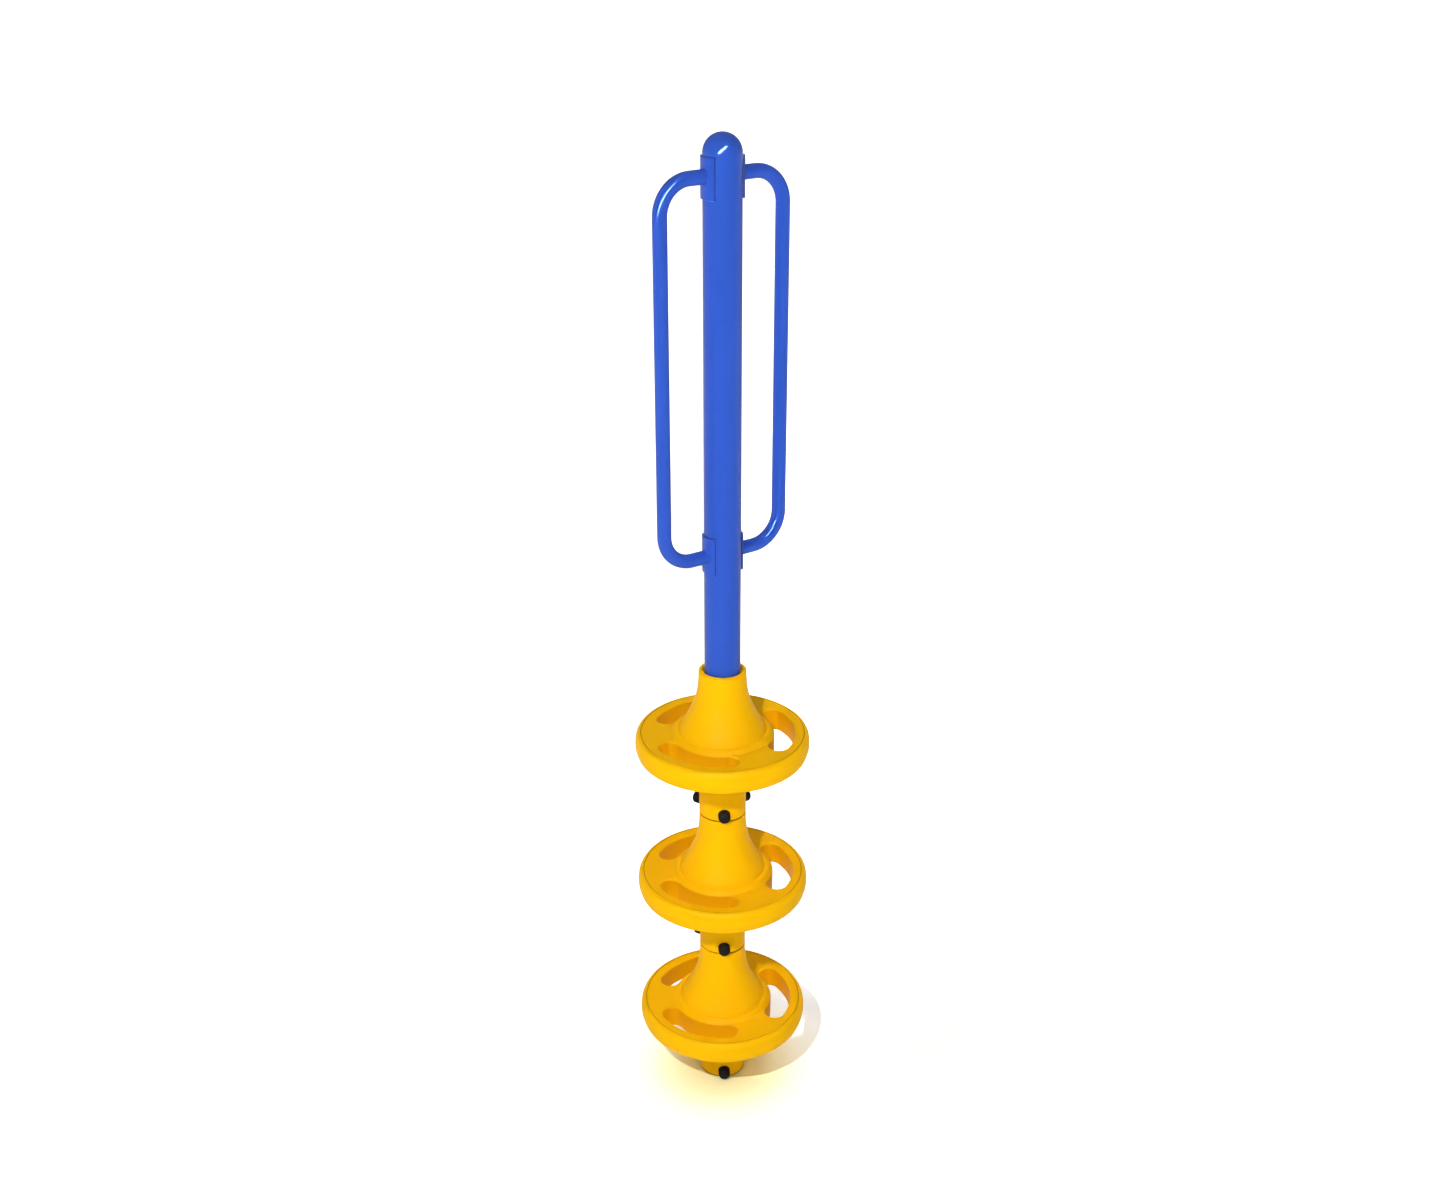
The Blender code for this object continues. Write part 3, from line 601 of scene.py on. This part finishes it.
def add_patch(bm, height, up):
    """Adds the deck's top or underside between PATCH_INNER and PATCH_OUTER, rolled down at each slot's edge.

    height gives the flat surface at a radius, and up is 1 for the top and -1 for the underside. It returns
    the rows of vertices at the slots' walls.
    """
    plan, edges = [], []
    for radius in (PATCH_INNER, PATCH_OUTER):
        first = len(plan)
        for step in range(AROUND):
            angle = 2 * math.pi * step / AROUND
            plan.append((radius * math.cos(angle), radius * math.sin(angle)))
            edges.append((first + step, first + (step + 1) % AROUND))
    for turn in SLOT_TURNS:
        loop = slot_loop(turn, SLOT_ROLL)
        first = len(plan)
        plan += loop
        edges += [(first + step, first + (step + 1) % len(loop)) for step in range(len(loop))]
    for radius in PATCH_RINGS:
        count = AROUND if radius < 130 or radius > 186 else AROUND // 2
        for step in range(count):
            angle = 2 * math.pi * (step + 0.5) / count
            x, y = radius * math.cos(angle), radius * math.sin(angle)
            if slot_distance(x, y) > SLOT_ROLL + 0.8:
                plan.append((x, y))
    points, _, faces, _, _, _ = delaunay_2d_cdt([Vector(p) for p in plan], edges, [], 0, 1e-5)
    verts = [bm.verts.new((p.x * MM, p.y * MM, height(p.length) * MM)) for p in points]
    for face in faces:
        x = sum(points[index].x for index in face) / len(face)
        y = sum(points[index].y for index in face) / len(face)
        if slot_distance(x, y) < SLOT_ROLL:
            continue
        widest = max(points[index].length for index in face)
        if widest < PATCH_INNER + 1e-3 or math.hypot(x, y) < PATCH_INNER * math.cos(math.pi / AROUND):
            continue
        bm.faces.new([verts[index] for index in face])
    loose = [vert for vert in verts if not vert.link_faces]
    bmesh.ops.delete(bm, geom=loose, context="VERTS")
    rows = []
    for turn in SLOT_TURNS:
        row = None
        for step in range(ROLL_STEPS):
            # 90 degrees is the roll's flat start, SLOT_ROLL outside the edge, and 0 is the upright wall
            angle = math.radians(90 * (ROLL_STEPS - step) / ROLL_STEPS)
            inward = SLOT_ROLL * (1 - math.cos(angle))
            drop = SLOT_ROLL * (1 - math.sin(angle))
            ring = [bm.verts.new((x * MM, y * MM, (height(math.hypot(x, y)) - up * drop) * MM))
                    for x, y in slot_loop(turn, inward)]
            if row:
                bridge(bm, row, ring)
            row = ring
        last = [bm.verts.new((x * MM, y * MM, (height(math.hypot(x, y)) - up * SLOT_ROLL) * MM))
                for x, y in slot_loop(turn, 0.0)]
        bridge(bm, row, last)
        rows.append(last)
    return rows


def pod_mesh():
    """One pod with its foot at z 0, as an object."""
    bm = bmesh.new()
    top = POD_HEIGHT / MM
    revolve(bm, foot_line(), AROUND)
    groove = [(GROOVE_OUTER, GROOVE_FLOOR), (GROOVE_INNER, GROOVE_FLOOR)]
    revolve(bm, rim_line() + groove + [point for point in DECK_POINTS if point[0] >= PATCH_OUTER], AROUND)
    inner_deck = [(PATCH_INNER, deck_height(PATCH_INNER))]
    inner_deck += [point for point in DECK_POINTS if point[0] < PATCH_INNER - 0.2]
    revolve(bm, inner_deck + bell_line()[1:] + [(NECK, top - 5)] + head_line(), AROUND)
    revolve(bm, [(BORE, top - MOUTH_DEPTH), (BORE, 2.5)], AROUND)
    upper = add_patch(bm, deck_height, 1)
    under = add_patch(bm, lambda radius: UNDERSIDE, -1)
    for high, low in zip(upper, under):
        rows = [high]
        for step in (1, 2, 3):
            share = step / 4.0
            rows.append([bm.verts.new(a.co.lerp(b.co, share)) for a, b in zip(high, low)])
        rows.append(low)
        for first, second in zip(rows, rows[1:]):
            bridge(bm, first, second)
    bmesh.ops.remove_doubles(bm, verts=bm.verts, dist=2e-6)
    pod = new_object("pod", bm, sharp=50.0)
    shapes = []
    for turn in CAP_TURNS:
        place = outward(turn, CAP_HEIGHT * MM)
        shapes.append(cylinder(CAP_RADIUS + 0.3, POCKET_FLOOR, NECK + 10, 64, place))
        shapes.append(cylinder(BOLT_HOLE, BORE - 4, POCKET_FLOOR + 1, 24, place))
    for shape in shapes:
        cut(pod, [shape])
    return pod


def make_pods(surface):
    pattern = pod_mesh()
    for node in PODS:
        pod = bpy.data.objects.new("moulded_" + node, pattern.data)
        bpy.context.scene.collection.objects.link(pod)
        pod.location.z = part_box(node)[0].z
        finish_piece(pod, surface, "yellow_plastic", AXIS_BODY, node)
    bpy.data.objects.remove(pattern, do_unlink=True)


def make_caps(surface):
    """Domed caps, hollow behind for the bolt heads."""
    power = 3.0
    shoulder = NECK + 10.0
    base = POCKET_FLOOR + 0.3
    line = [(0, HOLLOW_FLOOR), (HOLLOW_RADIUS, HOLLOW_FLOOR), (HOLLOW_RADIUS, base), (CAP_RADIUS, base)]
    for step in range(19):
        share = math.sin(math.radians(90 * step / 18))
        line.append((CAP_RADIUS * max(0.0, 1 - share ** power) ** (1 / power),
                     shoulder + (NECK + CAP_PROUD - shoulder) * share))
    bm = bmesh.new()
    revolve(bm, line, 64)
    pattern = new_object("cap", bm, sharp=50.0)
    for level in range(3):
        for number, turn in enumerate(CAP_TURNS):
            node = f"bolt_cap_{level + 1}_{number + 1}"
            cap = bpy.data.objects.new("moulded_" + node, pattern.data)
            bpy.context.scene.collection.objects.link(cap)
            low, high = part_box(node)
            cap.matrix_world = outward(turn, 0.5 * (low.z + high.z))
            finish_piece(cap, surface, "black_plastic", AXIS_BODY, node)
    bpy.data.objects.remove(pattern, do_unlink=True)


# ---- Pole, handles and saddles ----


def make_pole(surface):
    """The pole with its dome welded on and ground flush, in one skin."""
    radius = POLE_RADIUS / MM
    bore = (POLE_RADIUS - POLE_WALL) / MM
    bottom = POLE_BOTTOM / MM
    centre = DOME_CENTRE / MM
    line = [(bore, bottom), (radius - 0.6, bottom), (radius, bottom + 0.6), (radius, 0.5 * centre)]
    line += arc(0, centre, radius, 0, 90, 36)
    line[-1] = (0, centre + radius)
    inside = arc(0, centre, bore, 90, 0, 18)
    inside[0] = (0, centre + bore)
    bm = bmesh.new()
    revolve(bm, line, 128)
    revolve(bm, inside + [(bore, bottom)], 128)
    bmesh.ops.remove_doubles(bm, verts=bm.verts, dist=1e-6)
    pole = new_object("painted_pole", bm)
    holes = []
    for node in PODS:
        for turn in CAP_TURNS:
            place = outward(turn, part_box(node)[0].z + CAP_HEIGHT * MM)
            holes.append(cylinder(BOLT_HOLE, bore - 4, radius + 4, 24, place))
    cut(pole, holes)
    finish_piece(pole, surface, "blue_powder_coat", AXIS_BODY, "pole_tube", "pole_dome_cap")


def handle_path(side):
    """Centre points and directions of a handle, from its top end to its bottom end."""
    bend = 75.0 * MM
    start = HANDLE_REACH - bend
    inner, between = SADDLE_OUTER + 4 * MM, 0.5 * (SADDLE_OUTER + start) + 2 * MM
    path = [((inner, HANDLE_TOP), 0.0), ((between, HANDLE_TOP), 0.0)]
    quarter = [math.radians(90 * step / 24) for step in range(25)]
    path += [((start + bend * math.sin(turn), HANDLE_TOP - bend * (1 - math.cos(turn))), -turn)
             for turn in quarter]
    middle = 0.5 * (HANDLE_TOP + HANDLE_BOTTOM)
    path.append(((HANDLE_REACH, middle), -math.pi / 2))
    path += [((start + bend * math.cos(turn), HANDLE_BOTTOM + bend * (1 - math.sin(turn))),
              -math.pi / 2 - turn) for turn in quarter]
    path += [((between, HANDLE_BOTTOM), -math.pi), ((inner, HANDLE_BOTTOM), -math.pi)]
    return [(Vector((side * x, 0, z)), Vector((side * math.cos(turn), 0, math.sin(turn))))
            for (x, z), turn in path]


def make_handle(side, node, surface):
    """A bent tube whose ends are coped to the saddle plates."""
    facets = 48
    bm = bmesh.new()
    across = Vector((0, 1, 0))
    rings = []
    turns = [2 * math.pi * step / facets for step in range(facets)]
    for centre, along in handle_path(side):
        up = along.cross(across)
        rings.append([bm.verts.new(centre + HANDLE_RADIUS * (math.cos(turn) * across + math.sin(turn) * up))
                      for turn in turns])
    seat = SADDLE_OUTER + SEAM
    for end, height in ((0, HANDLE_TOP), (-1, HANDLE_BOTTOM)):
        for vert in rings[end]:
            vert.co.x = side * math.sqrt(seat ** 2 - vert.co.y ** 2)
        middle = bm.verts.new((side * seat, 0, height))
        ring = rings[end]
        for step in range(facets):
            bm.faces.new((ring[step], ring[(step + 1) % facets], middle))
    for first, second in zip(rings, rings[1:]):
        bridge(bm, first, second)
    handle = new_object("painted_" + node, bm, sharp=50.0)
    finish_piece(handle, surface, "blue_powder_coat", AXIS_BODY, node)


def make_saddle(side, node, surface, crevice):
    """A plate rolled to the pole, with chamfered edges in the darker coat of painted shade."""
    low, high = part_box(node)
    inner = POLE_RADIUS + SEAM
    half = math.asin(high.y / SADDLE_OUTER)
    columns, rows = 28, 10
    bm = bmesh.new()
    layers = []
    for radius, relief in ((inner, 0.0), (SADDLE_OUTER, SADDLE_CHAMFER)):
        grid = []
        reach = half - relief / radius
        for row in range(rows + 1):
            height = low.z + relief + (high.z - low.z - 2 * relief) * row / rows
            angles = [reach * (2 * column / columns - 1) for column in range(columns + 1)]
            grid.append([bm.verts.new((side * radius * math.cos(angle), radius * math.sin(angle), height))
                         for angle in angles])
        layers.append(grid)
    for grid in layers:
        for first, second in zip(grid, grid[1:]):
            bridge(bm, first, second, closed=False)
    inner_grid, outer_grid = layers
    bridge(bm, inner_grid[0], outer_grid[0], closed=False)
    bridge(bm, inner_grid[-1], outer_grid[-1], closed=False)
    for column in (0, -1):
        bridge(bm, [row[column] for row in inner_grid], [row[column] for row in outer_grid], closed=False)
    bmesh.ops.recalc_face_normals(bm, faces=bm.faces)
    corners = [edge for edge in bm.edges if edge.calc_face_angle(0.0) > math.radians(60)]
    bmesh.ops.bevel(bm, geom=corners, offset=0.4 * MM, segments=2, profile=0.5, affect="EDGES")
    saddle = new_object("painted_" + node, bm, sharp=50.0)
    finish_piece(saddle, surface, "blue_powder_coat", AXIS_BODY, node)
    # Painted shade: the plate's side and chamfer faces take the darker coat
    saddle.data.materials.append(crevice)
    for face in saddle.data.polygons:
        outward_share = Vector((face.center.x, face.center.y, 0)).normalized().dot(face.normal)
        face.material_index = 0 if abs(outward_share) > FLAT_SHARE else 1


def make_weld(side, name, height, surface):
    """A low fillet weld where a handle's end meets its saddle plate."""
    bm = bmesh.new()
    around, across = 96, 10
    size = 2.0 * MM
    rings = []
    for step in range(around):
        turn = 2 * math.pi * step / around
        y = HANDLE_RADIUS * math.cos(turn)
        z = HANDLE_RADIUS * math.sin(turn)
        x = math.sqrt(SADDLE_OUTER ** 2 - y ** 2)
        centre = Vector((x, y, z))
        plate = Vector((x, y, 0)).normalized()
        tube = Vector((0, math.cos(turn), math.sin(turn)))
        ripple = size * (1 + 0.08 * math.sin(turn * 30))
        ring = []
        for part in range(across):
            angle = 2 * math.pi * part / across
            ring.append(bm.verts.new(centre + ripple * (math.cos(angle) * plate + math.sin(angle) * tube)))
        rings.append(ring)
    for first, second in zip(rings, rings[1:] + rings[:1]):
        bridge(bm, first, second)
    for vert in bm.verts:
        vert.co.x *= side
        vert.co.z += height
    weld = new_object(name, bm, sharp=80.0)
    finish_piece(weld, surface, "blue_powder_coat", AXIS_BODY)


# ---- Ground post ----


def make_post(surface):
    radius = POST_RADIUS / MM
    bore = radius - POST_WALL
    low, high = (corner.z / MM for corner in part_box("support_post"))
    line = [(bore, low), (radius - 0.5, low), (radius, low + 0.5), (radius, high - 0.5), (radius - 0.5, high),
            (bore, high)]
    bm = bmesh.new()
    revolve(bm, line, 96, closed=True)
    post = new_object("galvanised_post", bm)
    finish_piece(post, surface, "galvanised_steel", STILL_BODY, "support_post")


# ---- Studio ----


def make_camera():
    data = bpy.data.cameras.new("camera")
    data.lens = LENS
    data.sensor_width = 36.0
    data.clip_end = 200.0
    camera = bpy.data.objects.new("camera", data)
    turn = math.radians(CAMERA_TURN)
    camera.location = (CAMERA_DISTANCE * math.sin(turn), -CAMERA_DISTANCE * math.cos(turn), CAMERA_HEIGHT)
    camera.rotation_euler = (math.radians(90 - CAMERA_PITCH), 0, turn)
    bpy.context.scene.collection.objects.link(camera)
    bpy.context.scene.camera = camera


def seen_from_dome(turn, elevation):
    """The glint strip's place at this turn from the camera's side and this elevation."""
    turn = math.radians(CAMERA_TURN + turn)
    elevation = math.radians(elevation)
    level = GLINT_DISTANCE * math.cos(elevation)
    return Vector((level * math.sin(turn), -level * math.cos(turn),
                   DOME_CENTRE + GLINT_DISTANCE * math.sin(elevation)))


def make_light():
    """A small key that casts the shadows, and a long strip that only glints on the surfaces."""
    data = bpy.data.lights.new("key", "POINT")
    data.energy = KEY_POWER
    data.shadow_soft_size = KEY_RADIUS
    data.color = KEY_COLOUR
    data.use_nodes = True
    falloff = data.node_tree.nodes.new("ShaderNodeLightFalloff")
    falloff.inputs["Strength"].default_value = 1.0
    data.node_tree.links.new(falloff.outputs["Constant"], data.node_tree.nodes["Emission"].inputs["Strength"])
    key = bpy.data.objects.new("key", data)
    turn = math.radians(KEY_TURN)
    key.location = (KEY_DISTANCE * math.sin(turn), -KEY_DISTANCE * math.cos(turn), KEY_HEIGHT)
    key.visible_glossy = False
    bpy.context.scene.collection.objects.link(key)
    start, end = seen_from_dome(*GLINT_START), seen_from_dome(*GLINT_END)
    data = bpy.data.lights.new("glint", "AREA")
    data.shape = "ELLIPSE"
    data.size = GLINT_WIDTH
    data.size_y = (end - start).length
    data.energy = GLINT_POWER
    strip = bpy.data.objects.new("glint", data)
    along = (end - start).normalized()
    across = along.cross(0.5 * (start + end) - Vector((0, 0, DOME_CENTRE))).normalized()
    turn = Matrix((across, along, across.cross(along))).transposed()
    strip.matrix_world = Matrix.Translation(0.5 * (start + end)) @ turn.to_4x4()
    strip.visible_diffuse = False
    strip.visible_camera = False
    bpy.context.scene.collection.objects.link(strip)


def make_sky():
    world = bpy.data.worlds.new("studio")
    world.use_nodes = True
    background = world.node_tree.nodes["Background"]
    background.inputs["Color"].default_value = (1.0, 1.0, 1.0, 1.0)
    seen = world.node_tree.nodes.new("ShaderNodeLightPath")
    strength = world.node_tree.nodes.new("ShaderNodeMapRange")
    strength.inputs["To Min"].default_value = SKY_STRENGTH
    strength.inputs["To Max"].default_value = BACKDROP
    world.node_tree.links.new(seen.outputs["Is Camera Ray"], strength.inputs["Value"])
    world.node_tree.links.new(strength.outputs["Result"], background.inputs["Strength"])
    bpy.context.scene.world = world
    bpy.context.scene.view_settings.view_transform = "Standard"


def make_floor():
    bm = bmesh.new()
    revolve(bm, [(0, 0), (FLOOR_RADIUS, 0)], 96, scale=1.0)
    floor = new_object("studio_floor", bm)
    shader = Shader("studio_white", 0.9, Specular_IOR_Level=0.0)
    radius = shader.radius()
    paper = shader.mix(shader.noise(0.6, 2.0), (0.94, 0.94, 0.94), (0.95, 0.95, 0.95))
    # Painted light: the floor's colour and glow turn yellow near the foot, as painted bounce light from the
    # pods
    blue = shader.steps(radius, BOUNCE)
    tint = shader.mix(blue, (1.0, 0.98, 0.0), WHITE)
    shader.colour(shader.multiply(paper, tint))
    shader.link(tint, shader.surface.inputs["Emission Color"])
    away = math.radians(KEY_TURN)
    along = shader.dot((-math.sin(away), math.cos(away), 0))
    aside = shader.sum("ABSOLUTE", shader.dot((math.cos(away), math.sin(away), 0)))
    # The lane widens away from the foot, and fades at its start and end
    beyond = shader.sum("SUBTRACT", aside, shader.spread(along, 0.0, 10.0, 0.0, 1.2))
    lane = shader.sum("MULTIPLY", shader.spread(along, 0.30, 0.50), shader.spread(along, 4.0, 9.5, 1.0, 0.0))
    lane = shader.sum("MULTIPLY", lane, shader.spread(beyond, 0.28, 0.52, SHADE_FILL, 0.0))
    glow = shader.sum("ADD", shader.steps(radius, FLOOR_GLOW), lane)
    glow = shader.sum("ADD", glow, shader.spread(radius, 0.6, 7.0, 0.0, FAR_GLOW))
    shader.link(glow, shader.surface.inputs["Emission Strength"])
    floor.data.materials.append(shader.material)


# ---- The whole scene ----

DECK_POINTS = deck_line()


def repaint(surfaces):
    """Gives every CAD node that still shows its finished material."""
    slots = {entry["node"]: entry["material_slot"] for entry in frame["record"]["subparts"]}
    for name, node in frame["nodes"].items():
        surface = surfaces[slots[name]]
        if not node.material_slots:
            node.data.materials.append(surface)
        for material_slot in node.material_slots:
            material_slot.material = surface


def main():
    make_camera()
    make_light()
    make_sky()
    make_floor()
    surfaces = {
        "yellow_plastic": yellow_plastic(),
        "blue_powder_coat": blue_paint(),
        "black_plastic": black_plastic(),
        "galvanised_steel": galvanised(),
        "bearing_steel": ground_steel(),
        "zinc_fastener": zinc_plate(),
        "bush_plastic": bush_plastic(),
        "seal_rubber": seal_rubber(),
    }
    repaint(surfaces)
    make_pods(surfaces["yellow_plastic"])
    make_caps(surfaces["black_plastic"])
    blue, dark = surfaces["blue_powder_coat"], edge_shade_paint()
    make_pole(blue)
    for side, name in ((1, "right"), (-1, "left")):
        make_handle(side, f"handle_{name}", blue)
        for end, height in (("top", HANDLE_TOP), ("bottom", HANDLE_BOTTOM)):
            make_saddle(side, f"saddle_{name}_{end}", blue, dark)
            make_weld(side, f"weld_{name}_{end}", height, blue)
    make_post(surfaces["galvanised_steel"])


main()
